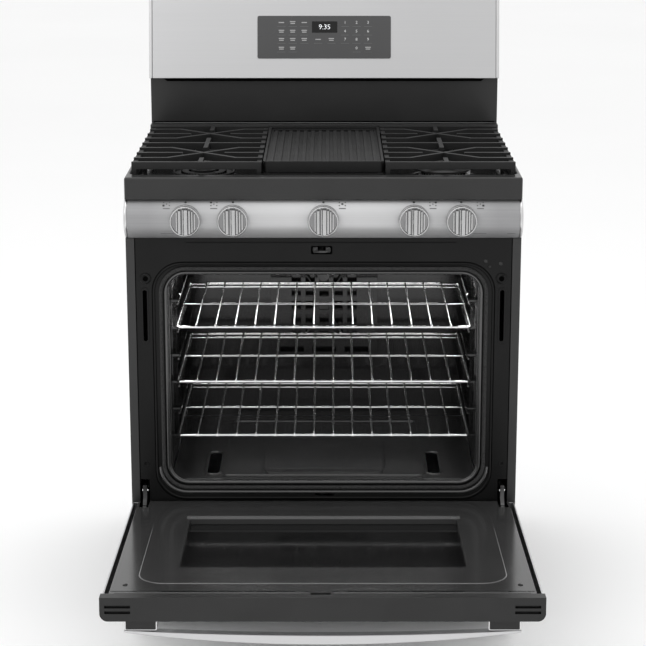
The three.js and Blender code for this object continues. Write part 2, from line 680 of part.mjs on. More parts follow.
// side grates: fingers cross over each burner, feet stand in the well
function sideGrate(side) {
  const inner = GRATE_INNER_X;
  const outer = GRATE_OUTER_X;
  const high = GRATE_TOP;
  const low = GRATE_TOP - GRATE_DEPTH;
  const half = GRATE_BAR / 2;
  const railLow = low - 6;
  const railHigh = high - 4;
  const bars = [];
  const across = (y, from, to) => bars.push(beam(side * from, y, side * to, y, GRATE_BAR, low, high));
  for (const x of [inner + half, outer - half]) {
    bars.push(beam(side * x, GRATE_FRONT, side * x, GRATE_BACK, GRATE_BAR, railLow, railHigh));
    for (const y of [GRATE_FRONT + 7, (BURNER_FRONT_Y + BURNER_REAR_Y) / 2, GRATE_BACK - 7]) {
      bars.push(beam(side * x, y - 6, side * x, y + 6, GRATE_BAR - 1, deck, railLow + 2));
    }
  }
  across(GRATE_FRONT + half, inner, outer);
  across(GRATE_BACK - half, inner, outer);
  across((BURNER_FRONT_Y + BURNER_REAR_Y) / 2, inner, outer);
  for (const y of [BURNER_FRONT_Y, BURNER_REAR_Y]) {
    across(y, inner, BURNER_X - 41);
    across(y, BURNER_X + 41, outer);
    for (const row of [-58, 58]) {
      across(y + row, inner, BURNER_X - 64);
      across(y + row, BURNER_X + 64, outer);
      bars.push(beam(side * (BURNER_X - 67), y + row, side * BURNER_X, y, GRATE_BAR, low, high));
      bars.push(beam(side * (BURNER_X + 67), y + row, side * BURNER_X, y, GRATE_BAR, low, high));
    }
  }
  for (const [y0, y1] of [[GRATE_FRONT + 2, 76], [192, 312], [408, GRATE_BACK - 2]]) {
    bars.push(beam(side * BURNER_X, y0, side * BURNER_X, y1, GRATE_BAR, low, high));
  }
  return join(bars);
}
place('grate_left', sideGrate(-1), looks.iron);
place('grate_right', sideGrate(1), looks.iron);

// centre grate under the griddle
const centreTop = GRIDDLE_BASE - GAP;
const centreLow = centreTop - 12;
const centreBars = [];
for (const x of [-GRIDDLE_HALF + 6, GRIDDLE_HALF - 6]) {
  centreBars.push(beam(x, GRATE_FRONT + 6, x, GRATE_BACK, GRATE_BAR, centreLow, centreTop));
  for (const y of [GRATE_FRONT + 13, GRATE_BACK - 7]) {
    centreBars.push(beam(x, y - 6, x, y + 6, GRATE_BAR - 1, deck, centreLow + 2));
  }
}
for (const y of [GRATE_FRONT + 10, 120, BURNER_CENTRE_Y, 370, GRATE_BACK - 5]) {
  centreBars.push(beam(-GRIDDLE_HALF + 6, y, GRIDDLE_HALF - 6, y, GRATE_BAR, centreLow + 1, centreTop - 1));
}
place('grate_centre', join(centreBars), looks.iron);

const griddleRibs = [];
for (let rib = 0; rib < GRIDDLE_RIBS; rib += 1) {
  const x = (rib - (GRIDDLE_RIBS - 1) / 2) * RIB_PITCH;
  griddleRibs.push(block(
    x - 3.5, x + 3.5, GRIDDLE_FRONT + 12, GRIDDLE_BACK - 40, GRIDDLE_BASE + 12, GRATE_TOP - 2,
  ));
}
place('griddle', cut(join(cut(
  flat(
    roundedOutline(-GRIDDLE_HALF, GRIDDLE_HALF, GRIDDLE_FRONT, GRIDDLE_BACK, 8),
    GRIDDLE_BASE, GRATE_TOP, 3,
  ),
  block(
    -GRIDDLE_HALF + 5, GRIDDLE_HALF - 5, GRIDDLE_FRONT + 6, GRIDDLE_BACK - 6,
    GRIDDLE_FACE - 1.5, GRATE_TOP + 1,
  ),
  block(
    -GRIDDLE_HALF + 10, GRIDDLE_HALF - 10, GRIDDLE_BACK - 36, GRIDDLE_BACK - 12,
    GRIDDLE_FACE - 6, GRATE_TOP,
  ),
), griddleRibs), block(
  -GRIDDLE_HALF + 6, GRIDDLE_HALF - 6, GRIDDLE_FRONT + 6, GRIDDLE_BACK - 6,
  GRIDDLE_BASE - 1, GRIDDLE_BASE + 8,
)), looks.iron);

// ---------- backguard ----------
place('backsplash', join(
  block(-HALF + 2, HALF - 2, SPLASH_Y, SPLASH_Y + SHEET, LEDGE_TOP + GAP, GUARD_LOW - GAP),
  SIDES.map(([, side]) => sideBlock(
    side, HALF - 2 - SHEET, HALF - 2, SPLASH_Y, DEPTH - 2, LEDGE_TOP + GAP, GUARD_LOW - GAP,
  )),
), looks.enamel);

function guardProfile(inset, drop) {
  const lean = (GUARD_TOP_Y - GUARD_LOW_Y) / (HEIGHT - GUARD_LOW);
  return outline([
    [GUARD_LOW_Y + inset - lean * drop, GUARD_LOW - drop],
    [GUARD_TOP_Y + inset - lean * inset, HEIGHT - inset],
    [DEPTH - 2 - inset, HEIGHT - inset],
    [DEPTH - 2 - inset, GUARD_LOW - drop],
  ]);
}
place('guard_panel', cut(
  along(guardProfile(0, 0), -HALF, HALF),
  along(guardProfile(2, 5), -HALF + 2, HALF - 2),
), looks.stainless);

const leanAngle = Math.atan2(GUARD_TOP_Y - GUARD_LOW_Y, HEIGHT - GUARD_LOW);
const keypadShape = roundedOutline(
  -KEYPAD_HALF, KEYPAD_HALF,
  (KEYPAD_LOW - GUARD_LOW) / Math.cos(leanAngle), (KEYPAD_HIGH - GUARD_LOW) / Math.cos(leanAngle), 4,
);
const keypadLean = new THREE.Matrix4().makeTranslation(0, GUARD_LOW_Y, GUARD_LOW).multiply(
  new THREE.Matrix4().makeRotationX(-leanAngle),
);
place('keypad', upright(keypadShape, -3 - GAP, -GAP, 3).transform(keypadLean.elements), looks.keypad);

// ---------- centre the whole on its footprint ----------
const bounds = new THREE.Box3().setFromObject(group);
const middle = bounds.getCenter(new THREE.Vector3());
for (const mesh of group.children) {
  mesh.geometry.translate(-middle.x, -middle.y, -bounds.min.z);
}

export default group;
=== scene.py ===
"""Looks for a freestanding gas range with its oven door open. Shapes are built in millimetres from the
cabinet's front plane (x right, y towards the wall, z up) and then set into the frame in metres."""

import math

import bmesh
import bpy
from mathutils import Matrix, Vector


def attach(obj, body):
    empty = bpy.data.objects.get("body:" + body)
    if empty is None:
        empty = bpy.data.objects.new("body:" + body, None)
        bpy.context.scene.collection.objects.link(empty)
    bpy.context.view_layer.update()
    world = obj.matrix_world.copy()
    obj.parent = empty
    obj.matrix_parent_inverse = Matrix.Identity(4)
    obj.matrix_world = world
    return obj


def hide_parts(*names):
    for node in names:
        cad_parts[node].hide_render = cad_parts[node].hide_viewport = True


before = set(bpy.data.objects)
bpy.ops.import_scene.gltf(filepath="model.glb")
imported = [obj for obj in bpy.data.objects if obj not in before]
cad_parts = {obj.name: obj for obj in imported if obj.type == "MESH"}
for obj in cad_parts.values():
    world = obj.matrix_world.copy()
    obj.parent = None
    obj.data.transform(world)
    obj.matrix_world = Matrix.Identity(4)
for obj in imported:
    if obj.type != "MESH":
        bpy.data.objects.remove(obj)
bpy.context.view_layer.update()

METRES = 0.001
ROW_SHIFT = -38.58
DOOR_PIVOT = (0, -21, 258)
DOOR_OPEN = math.radians(87.1)
GUARD_FOOT = (0, 556, 1033)
KNOB_Z = 841
TO_RANGE = Matrix.Scale(METRES, 4) @ Matrix.Translation((0, ROW_SHIFT, 0))
TO_DOOR = TO_RANGE @ Matrix.Translation(DOOR_PIVOT) @ Matrix.Rotation(DOOR_OPEN, 4, "X")
LEAN = math.atan2(35, 167)
TO_GUARD = TO_RANGE @ Matrix.Translation(GUARD_FOOT) @ Matrix.Rotation(-LEAN, 4, "X")
LAID = Matrix(((1, 0, 0, 0), (0, 0, 1, 0), (0, 1, 0, 0), (0, 0, 0, 1)))
SIDES = (("left", -1), ("right", 1))
KNOBS = (("left_front", -262), ("left_rear", -172), ("centre", 0), ("right_rear", 172),
    ("right_front", 262))


# ---------------------------------------------------------------- finishes
class Reading:
    """A number read over a surface, so that sums of it are written plainly."""

    def __init__(self, finish, socket):
        self.finish = finish
        self.socket = socket

    def worked(self, operation, first, second):
        made = self.finish.node("ShaderNodeMath", {"operation": operation}, {0: first, 1: second})
        return Reading(self.finish, made.outputs[0])

    def __add__(self, other):
        return self.worked("ADD", self, other)

    def __mul__(self, other):
        return self.worked("MULTIPLY", self, other)

    __radd__ = __add__
    __rmul__ = __mul__


class Finish:
    """A node finish, with the same few steps for every surface of the range."""

    def __init__(self, name, colour, roughness, metal=0.0, **steady):
        self.made = bpy.data.materials.new(name)
        self.made.use_nodes = True
        self.tree = self.made.node_tree
        self.shader = self.tree.nodes["Principled BSDF"]
        self.shader.inputs["Base Color"].default_value = (*colour, 1)
        self.shader.inputs["Roughness"].default_value = roughness
        self.shader.inputs["Metallic"].default_value = metal
        for socket, value in steady.items():
            self.shader.inputs[socket.replace("_", " ")].default_value = value

    def feed(self, socket, value):
        if isinstance(value, Reading):
            value = value.socket
        if isinstance(value, bpy.types.NodeSocket):
            self.tree.links.new(value, socket)
        else:
            socket.default_value = value

    def node(self, kind, settings=None, sockets=None):
        made = self.tree.nodes.new(kind)
        for name, value in (settings or {}).items():
            if name == "stops":
                ends = made.color_ramp.elements
                for element, (place, colour) in zip(ends, value):
                    element.position = place
                    element.color = colour
                for place, colour in value[2:]:
                    ends.new(place).color = colour
            else:
                setattr(made, name, value)
        for name, value in (sockets or {}).items():
            self.feed(made.inputs[name], value)
        return made

    def spot(self, stretch=(1, 1, 1)):
        here = self.node("ShaderNodeTexCoord")
        return self.node("ShaderNodeMapping", None,
            {"Vector": here.outputs["Object"], "Scale": stretch}).outputs[0]

    def cloud(self, scale, detail=3.0, stretch=(1, 1, 1), roughness=0.55):
        made = self.node("ShaderNodeTexNoise", {"noise_dimensions": "3D"}, {
            "Vector": self.spot(stretch), "Scale": scale, "Detail": detail, "Roughness": roughness,
        })
        return Reading(self, made.outputs["Fac"])

    def pits(self, scale, stretch=(1, 1, 1)):
        made = self.node("ShaderNodeTexVoronoi", {"feature": "F1"},
            {"Vector": self.spot(stretch), "Scale": scale})
        return Reading(self, made.outputs["Distance"])

    def between(self, reading, low, high):
        """The reading brought to 0 at its low value and 1 at its high one."""
        made = self.node("ShaderNodeMapRange", None, {"Value": reading, "From Min": low, "From Max": high})
        return Reading(self, made.outputs["Result"])

    def colour(self, amount, first, second):
        made = self.node("ShaderNodeMix", {"data_type": "RGBA"},
            {0: amount, 6: (*first, 1), 7: (*second, 1)})
        self.feed(self.shader.inputs["Base Color"], made.outputs[2])
        return self

    def rough(self, reading):
        self.feed(self.shader.inputs["Roughness"], reading)
        return self

    def relief(self, height, strength, distance=0.001):
        made = self.node("ShaderNodeBump", None,
            {"Height": height, "Strength": strength, "Distance": distance})
        self.feed(self.shader.inputs["Normal"], made.outputs[0])
        return self


def brushed(name, light, dark, roughness, stretch):
    look = Finish(name, light, roughness, 1.0)
    streak = look.cloud(1.0, 4.0, stretch)
    smudge = look.cloud(3.0, 2.0)
    look.colour(look.between(streak * 0.6 + smudge * 0.4, 0.3, 0.7), dark, light)
    look.rough(streak * 0.08 + smudge * 0.06 + (roughness - 0.07))
    return look.relief(streak, 0.02, 0.0003).made


def bowed_steel():
    """Satin steel of the control panel, with painted shade making it darker towards its two ends."""
    look = Finish("panel_steel_painted_end_shade", (0.5, 0.5, 0.5), 0.5, 0.6)
    here = look.node("ShaderNodeTexCoord")
    apart = look.node("ShaderNodeSeparateXYZ", None, {"Vector": here.outputs["Object"]})
    across = Reading(look, apart.outputs["X"])
    # painted shade: the colour darkens with the square of x towards both ends of the panel
    ends = look.between(across * across, 0.004, 0.11)
    streak = look.cloud(1.0, 3.0, (2, 500, 500))
    look.colour(look.between(ends * 0.9 + streak * 0.2, 0.0, 1.1), (0.56, 0.56, 0.565), (0.27, 0.27, 0.275))
    look.rough(streak * 0.08 + 0.48)
    return look.relief(streak, 0.02, 0.0003).made


def enamelled(name, base, other, roughness, peel=0.05, **steady):
    """Fired enamel: a little orange peel and faint mottling."""
    look = Finish(name, base, roughness, 0.0, **steady)
    mottle = look.cloud(9.0, 3.0)
    peel_height = look.cloud(420.0, 2.0)
    look.colour(look.between(mottle, 0.35, 0.7), base, other)
    look.rough(mottle * 0.10 + (roughness - 0.05))
    return look.relief(peel_height, peel, 0.0006).made


def rough_iron(name, base, other, roughness):
    look = Finish(name, base, roughness, 0.0, Specular_IOR_Level=0.25)
    sand = look.cloud(900.0, 4.0)
    patch = look.cloud(14.0, 3.0)
    look.colour(look.between(patch * 0.6 + sand * 0.4, 0.35, 0.68), base, other)
    look.rough(patch * 0.18 + (roughness - 0.09))
    return look.relief(sand, 0.30, 0.0009).made


def zinc_sheet():
    look = Finish("zinc_sheet", (0.42, 0.43, 0.44), 0.45, 1.0)
    spangle = look.pits(60.0)
    look.colour(look.between(spangle, 0.1, 0.9), (0.36, 0.37, 0.38), (0.52, 0.53, 0.54))
    look.rough(spangle * 0.2 + 0.36)
    return look.relief(look.cloud(300.0), 0.04).made


def cast_metal(name, base, other, roughness):
    look = Finish(name, base, roughness, 1.0)
    grain = look.cloud(520.0, 3.0)
    patch = look.cloud(18.0, 2.0)
    look.colour(look.between(patch, 0.35, 0.65), base, other)
    look.rough(patch * 0.15 + grain * 0.1 + (roughness - 0.12))
    return look.relief(grain, 0.12, 0.0005).made


def plated():
    look = Finish("chrome_plate", (0.80, 0.80, 0.81), 0.12, 1.0)
    wear = look.cloud(35.0, 3.0)
    look.colour(look.between(wear, 0.4, 0.7), (0.92, 0.92, 0.92), (0.76, 0.76, 0.765))
    look.rough(wear * 0.12 + 0.12)
    return look.relief(look.cloud(240.0, 2.0), 0.03, 0.0004).made


def moulded(name, base, other, roughness, grain_scale=700.0, strength=0.12, **steady):
    look = Finish(name, base, roughness, 0.0, **steady)
    grain = look.cloud(grain_scale, 2.0)
    patch = look.cloud(12.0, 2.0)
    look.colour(look.between(patch, 0.35, 0.65), base, other)
    look.rough(patch * 0.10 + (roughness - 0.05))
    return look.relief(grain, strength, 0.0005).made


def tinted_glass(name, base, other, roughness):
    look = Finish(name, base, roughness, 0.0, Specular_IOR_Level=0.3)
    haze = look.cloud(5.0, 3.0)
    look.colour(look.between(haze, 0.35, 0.7), base, other)
    return look.rough(haze * 0.06 + (roughness - 0.02)).made


def woven_rope():
    look = Finish("rope_seal", (0.02, 0.02, 0.02), 0.9)
    weave = look.pits(430.0, (1, 1, 1))
    look.colour(look.between(weave, 0.1, 0.8), (0.035, 0.035, 0.035), (0.008, 0.008, 0.008))
    look.rough(weave * 0.1 + 0.82)
    return look.relief(weave, 0.6, 0.0012).made


def printed(name, tone, other, glow=0.0):
    look = Finish(name, tone, 0.5)
    # glow: an emission in the print's own tone; the clock display's own light, and painted glow on key
    # legends and ignitor tips
    if glow:
        look.shader.inputs["Emission Color"].default_value = (*tone, 1)
        look.shader.inputs["Emission Strength"].default_value = glow
    return look.colour(look.between(look.cloud(160.0), 0.3, 0.7), tone, other).made


def grey(level):
    return level, level, level


STEEL = brushed("brushed_steel", (0.55, 0.55, 0.555), (0.52, 0.52, 0.525), 0.34, (2, 500, 500))
PANEL_STEEL_PAINTED_SHADE = bowed_steel()
BAR_STEEL = brushed("bar_steel", (0.56, 0.56, 0.565), (0.52, 0.52, 0.525), 0.36, (2, 400, 400))
STEEL_EDGE = brushed("bright_steel_edge", grey(0.62), (0.58, 0.58, 0.585), 0.30, (40, 40, 4))
KNOB_STEEL = brushed("knob_steel", grey(0.50), (0.44, 0.44, 0.445), 0.24, (500, 500, 20))
# painted shade: a darker copy of the knob steel for the thin disc laid over each knob face
KNOB_PAINTED_SHADE = brushed("knob_face_painted_shade", grey(0.27), (0.22, 0.22, 0.225), 0.34, (300, 300, 20))
BEZEL_STEEL = brushed("bezel_steel", grey(0.42), (0.38, 0.38, 0.385), 0.36, (300, 300, 20))
FRAME_ENAMEL = enamelled("frame_enamel", grey(0.004), grey(0.006), 0.30, 0.02, Specular_IOR_Level=0.16)
# painted highlight, partly: a glossier enamel for the mouth lip and oven guide rails, also lighter in
# colour than the enamel around them
LIP_PAINTED_HIGHLIGHT = enamelled("mouth_enamel_painted_highlight", grey(0.012), grey(0.016), 0.20, 0.02, Specular_IOR_Level=1.0)
# painted reflection: the oven floor enamel is made several times lighter than the walls' enamel
FLOOR_PAINTED_REFLECTION = enamelled("oven_floor_enamel_painted_reflection", grey(0.032), grey(0.042), 0.18, 0.05, Specular_IOR_Level=0.8)
# painted light, partly: the retainer is a lighter part, made lighter still to make up for the shade near
# the hinge
RETAINER_PAINTED_LIGHT = enamelled("retainer_enamel_painted_light", grey(0.12), grey(0.13), 0.30, 0.0)
# painted highlight: beads, rims, ribs and sill strips in this enamel are much lighter than the enamel they
# sit on
RIDGE_PAINTED_HIGHLIGHT = enamelled("ridge_enamel_painted_highlight", grey(0.040), grey(0.046), 0.22, 0.0, Specular_IOR_Level=1.0)
DOOR_ENAMEL = enamelled("door_enamel", grey(0.031), grey(0.035), 0.15, 0.0, Specular_IOR_Level=0.45)
TOP_ENAMEL = enamelled("cooktop_enamel", grey(0.020), grey(0.024), 0.32, Specular_IOR_Level=0.30)
WELL_ENAMEL = enamelled("well_enamel", grey(0.004), grey(0.006), 0.16, 0.02, Specular_IOR_Level=0.30)
SPLASH_ENAMEL = enamelled("splash_enamel", grey(0.019), grey(0.022), 0.30, Specular_IOR_Level=0.38)
OVEN_ENAMEL = enamelled("oven_enamel", grey(0.009), grey(0.014), 0.16, 0.05, Specular_IOR_Level=0.5)
IRON = rough_iron("grate_iron", grey(0.010), grey(0.016), 0.50)
GRIDDLE_IRON = rough_iron("griddle_iron", grey(0.004), grey(0.007), 0.46)
CAP_IRON = rough_iron("cap_iron", grey(0.008), grey(0.013), 0.40)
CHROME = plated()
HEAD_METAL = cast_metal("burner_head_metal", (0.50, 0.50, 0.49), (0.40, 0.40, 0.39), 0.36)
FAN_METAL = cast_metal("fan_metal", grey(0.10), grey(0.07), 0.45)
HINGE_METAL = cast_metal("hinge_metal", grey(0.09), grey(0.05), 0.30)
DARK_METAL = cast_metal("blackened_screw", grey(0.06), grey(0.04), 0.28)
ZINC = zinc_sheet()
BRASS = cast_metal("inlet_brass", (0.55, 0.40, 0.16), (0.45, 0.32, 0.12), 0.35)
SIDE_PAINT = moulded("side_paint", grey(0.012), grey(0.016), 0.42, 500.0, 0.08)
CAP_TRIM = moulded("door_cap_trim", grey(0.009), grey(0.012), 0.38, 900.0, 0.04, Specular_IOR_Level=0.34)
FOOT_PLASTIC = moulded("foot_plastic", grey(0.015), grey(0.022), 0.6)
WINDOW = tinted_glass("oven_window", grey(0.008), grey(0.010), 0.05)
KEYPAD_GLASS = tinted_glass("keypad_glass", (0.066, 0.066, 0.067), (0.072, 0.072, 0.073), 0.26)
CLOCK_GLASS = tinted_glass("clock_glass", grey(0.004), grey(0.006), 0.12)
ROPE = woven_rope()
DARK = moulded("deep_shadow", grey(0.001), grey(0.002), 0.9, Specular_IOR_Level=0.0)
# painted glow: the key numbers and the ignitor tips are given a faint emission though neither is lit
PALE_PAINTED_GLOW = printed("pale_painted_glow", grey(0.56), grey(0.50), 0.20)
# painted glow: the key word bars are given a faint emission though they are not lit
KEY_WORDS_PAINTED_GLOW = printed("key_words_painted_glow", grey(0.36), grey(0.32), 0.04)
KEY_FAINT = printed("key_faint", grey(0.16), grey(0.13))
PANEL_PRINT = printed("panel_print", grey(0.10), grey(0.14))
MARK = printed("black_mark", grey(0.012), grey(0.02))
CLOCK_DIGITS = printed("clock_digits", (0.95, 0.97, 1.0), (0.85, 0.88, 0.92), 0.9)


# ---------------------------------------------------------------- shapes
def sharp(bm, degrees=38):
    limit = math.radians(degrees)
    return [e for e in bm.edges if len(e.link_faces) == 2 and e.calc_face_angle() > limit]


def eased(bm, edges, radius, steps=2):
    bmesh.ops.bevel(
        bm, geom=edges, offset=radius, offset_type="OFFSET", segments=steps, profile=0.5,
        affect="EDGES", clamp_overlap=True, material=-1,
    )
    return bm


def slab(x, y, z, corner=0, along="z", edge=0, steps=5):
    """A block between pairs of values: its corners that run one way are rounded, then every edge."""
    bm = bmesh.new()
    bmesh.ops.create_cube(bm, size=1)
    bmesh.ops.scale(bm, vec=[b - a for a, b in (x, y, z)], verts=bm.verts)
    bmesh.ops.translate(bm, vec=[(a + b) / 2 for a, b in (x, y, z)], verts=bm.verts)
    if corner:
        way = "xyz".index(along)
        run = [e for e in bm.edges if abs((e.verts[0].co - e.verts[1].co).normalized()[way]) > 0.99]
        eased(bm, run, corner, steps)
    if edge:
        eased(bm, sharp(bm), edge)
    return bm


def rod(start, end, radius, sides=20, edge=0):
    a, b = Vector(start), Vector(end)
    bm = bmesh.new()
    bmesh.ops.create_cone(
        bm, cap_ends=True, segments=sides, radius1=radius, radius2=radius, depth=(b - a).length,
    )
    turn = (b - a).to_track_quat("Z", "Y").to_matrix().to_4x4()
    bm.transform(Matrix.Translation((a + b) / 2) @ turn)
    if edge:
        eased(bm, sharp(bm, 60), edge)
    return bm


def turned(profile, at=(0, 0, 0), toward=(0, 0, 1), steps=56):
    """A profile of radius and height, spun about its axis."""
    bm = bmesh.new()
    points = [bm.verts.new((r, 0, h)) for r, h in profile]
    lines = [bm.edges.new(pair) for pair in zip(points, points[1:])]
    bmesh.ops.spin(
        bm, geom=points + lines, cent=(0, 0, 0), axis=(0, 0, 1), dvec=(0, 0, 0),
        angle=math.tau, steps=steps, use_merge=True, use_duplicate=False,
    )
    bmesh.ops.remove_doubles(bm, verts=bm.verts, dist=1e-4)
    bmesh.ops.recalc_face_normals(bm, faces=bm.faces)
    bm.transform(Matrix.Translation(at) @ Vector(toward).to_track_quat("Z", "Y").to_matrix().to_4x4())
    return bm


def drawn(outline, push, edge=0, steps=2):
    """A flat outline pushed out along a line."""
    bm = bmesh.new()
    face = bm.faces.new([bm.verts.new(point) for point in outline])
    moved = bmesh.ops.extrude_face_region(bm, geom=[face])
    bmesh.ops.translate(bm, vec=push, verts=[v for v in moved["geom"] if isinstance(v, bmesh.types.BMVert)])
    bmesh.ops.recalc_face_normals(bm, faces=bm.faces)
    if edge:
        eased(bm, sharp(bm), edge, steps)
    return bm


def round_path(x, z, radius, y=0, steps=9):
    points = []
    for cx, cz, start in (
        (x[1] - radius, z[0] + radius, -90), (x[1] - radius, z[1] - radius, 0),
        (x[0] + radius, z[1] - radius, 90), (x[0] + radius, z[0] + radius, 180),
    ):
        for step in range(steps + 1):
            angle = math.radians(start + 90 * step / steps)
            points.append((cx + radius * math.cos(angle), y, cz + radius * math.sin(angle)))
    return points


def windowed(outer, inner, y, edge=0, steps=2):
    """A plate with a rounded window through it. Each outline is its x pair, z pair and corner radius."""
    bm = bmesh.new()
    loops = []
    for x, z, radius in (outer, inner):
        ring = [bm.verts.new(point) for point in round_path(x, z, radius, y[0])]
        loops += [bm.edges.new((a, b)) for a, b in zip(ring, ring[1:] + ring[:1])]
    bmesh.ops.bridge_loops(bm, edges=loops)
    moved = bmesh.ops.extrude_face_region(bm, geom=bm.faces[:])
    bmesh.ops.translate(
        bm, vec=(0, y[1] - y[0], 0), verts=[v for v in moved["geom"] if isinstance(v, bmesh.types.BMVert)],
    )
    bmesh.ops.recalc_face_normals(bm, faces=bm.faces)
    if edge:
        eased(bm, sharp(bm), edge, steps)
    return bm


def wire(points, radius, closed=False, resolution=3):
    curve = bpy.data.curves.new("wire", "CURVE")
    curve.dimensions = "3D"
    curve.bevel_depth = radius
    curve.bevel_resolution = resolution
    curve.use_fill_caps = True
    line = curve.splines.new("POLY")
    line.points.add(len(points) - 1)
    for point, place in zip(line.points, points):
        point.co = (*place, 1)
    line.use_cyclic_u = closed
    return from_curve(curve)


def from_curve(curve):
    holder = bpy.data.objects.new("holder", curve)
    mesh = bpy.data.meshes.new_from_object(holder)
    bm = bmesh.new()
    bm.from_mesh(mesh)
    bpy.data.objects.remove(holder)
    bpy.data.curves.remove(curve)
    bpy.data.meshes.remove(mesh)
    bmesh.ops.remove_doubles(bm, verts=bm.verts, dist=1e-4)
    return bm


def digit(text, size, x, z, y, thick=0.12, thin=0.0):
    curve = bpy.data.curves.new("digit", "FONT")
    curve.body = text
    curve.size = size
    curve.align_x = "CENTER"
    curve.align_y = "CENTER"
    curve.extrude = thick
    curve.offset = -size * thin
    curve.resolution_u = 3
    bm = from_curve(curve)
    bm.transform(Matrix.Translation((x, y, z)) @ Matrix.Rotation(math.pi / 2, 4, "X"))
    return bm


def together(*parts):
    whole = bmesh.new()
    for part in parts:
        mesh = bpy.data.meshes.new("part")
        part.to_mesh(mesh)
        part.free()
        whole.from_mesh(mesh)
        bpy.data.meshes.remove(mesh)
    return whole


def softened(node, width, steps=2):
    """A copy of a frame piece, in metres and in place. Its edges are eased, or left sharp at width 0."""
    bm = bmesh.new()
    bm.from_mesh(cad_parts[node].data)
    bmesh.ops.remove_doubles(bm, verts=bm.verts, dist=2e-6)
    bmesh.ops.dissolve_limit(
        bm, angle_limit=math.radians(1), use_dissolve_boundaries=False, verts=bm.verts, edges=bm.edges,
    )
    return eased(bm, sharp(bm, 50), width / 1000, steps) if width else bm


def piece(name, bm, body, look, stands_for=(), place=TO_RANGE, crease=42):
    if place is not None:
        bm.transform(place)
    bmesh.ops.recalc_face_normals(bm, faces=bm.faces)
    mesh = bpy.data.meshes.new(name)
    bm.to_mesh(mesh)
    bm.free()
    mesh.materials.append(look)
    mesh.polygons.foreach_set("use_smooth", [True] * len(mesh.polygons))
    mesh.set_sharp_from_angle(angle=math.radians(crease))
    made = bpy.data.objects.new(name, mesh)
    bpy.context.scene.collection.objects.link(made)
    even = made.modifiers.new("even_shading", "WEIGHTED_NORMAL")
    even.keep_sharp = True
    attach(made, body)
    if stands_for:
        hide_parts(*stands_for)
    return made


def redrawn(name, node, width, body, look):
    """The visible piece for one frame piece: the same shape with its edges eased."""
    piece(name, softened(node, width), body, look, [node], None)


def screw(x, y, z, radius=3.2, toward=(0, -1, 0)):
    head = turned(
        [(0, 0.6), (radius * 0.35, 0.6), (radius * 0.42, 1.6), (radius * 0.8, 1.5), (radius, 0.8),
        (radius, -0.6)],
        (x, y, z), toward, 20,
    )
    return head


# ---------------------------------------------------------------- cabinet
def cabinet():
    for name, side in SIDES:
        redrawn(f"side_{name}", f"side_panel_{name}", 0.5, "range_body", SIDE_PAINT)
        for row in ("front", "rear"):
            node = f"foot_{row}_{name}"
            redrawn(f"levelling_{node}", node, 0.6, "range_body", FOOT_PLASTIC)
    redrawn("back_sheet", "rear_panel", 0, "range_body", ZINC)
    heads = []
    for x in (-366, -120, 120, 366):
        for z in (180, 420, 660, 866):
            heads.append(screw(x, 640, z, 4, (0, 1, 0)))
    for x in (-180, 180):
        for z in (1050, 1180):
            heads.append(screw(x, 638, z, 4, (0, 1, 0)))
    piece("back_screws", together(*heads), "range_body", HINGE_METAL)
    piece("back_cover", together(
        slab((70, 330), (640, 646), (300, 560), 8, "y", 1.2),
        slab((80, 320), (645.5, 647), (425, 435), 3, "y"),
    ), "range_body", ZINC)
    piece("gas_inlet", together(
        rod((-240, 560, 105), (-240, 636, 105), 11, 24, 1),
        rod((-240, 612, 105), (-240, 630, 105), 16, 6, 1),
        rod((-240, 634, 105), (-240, 646, 105), 9.5, 24, 0.8),
    ), "range_body", BRASS)


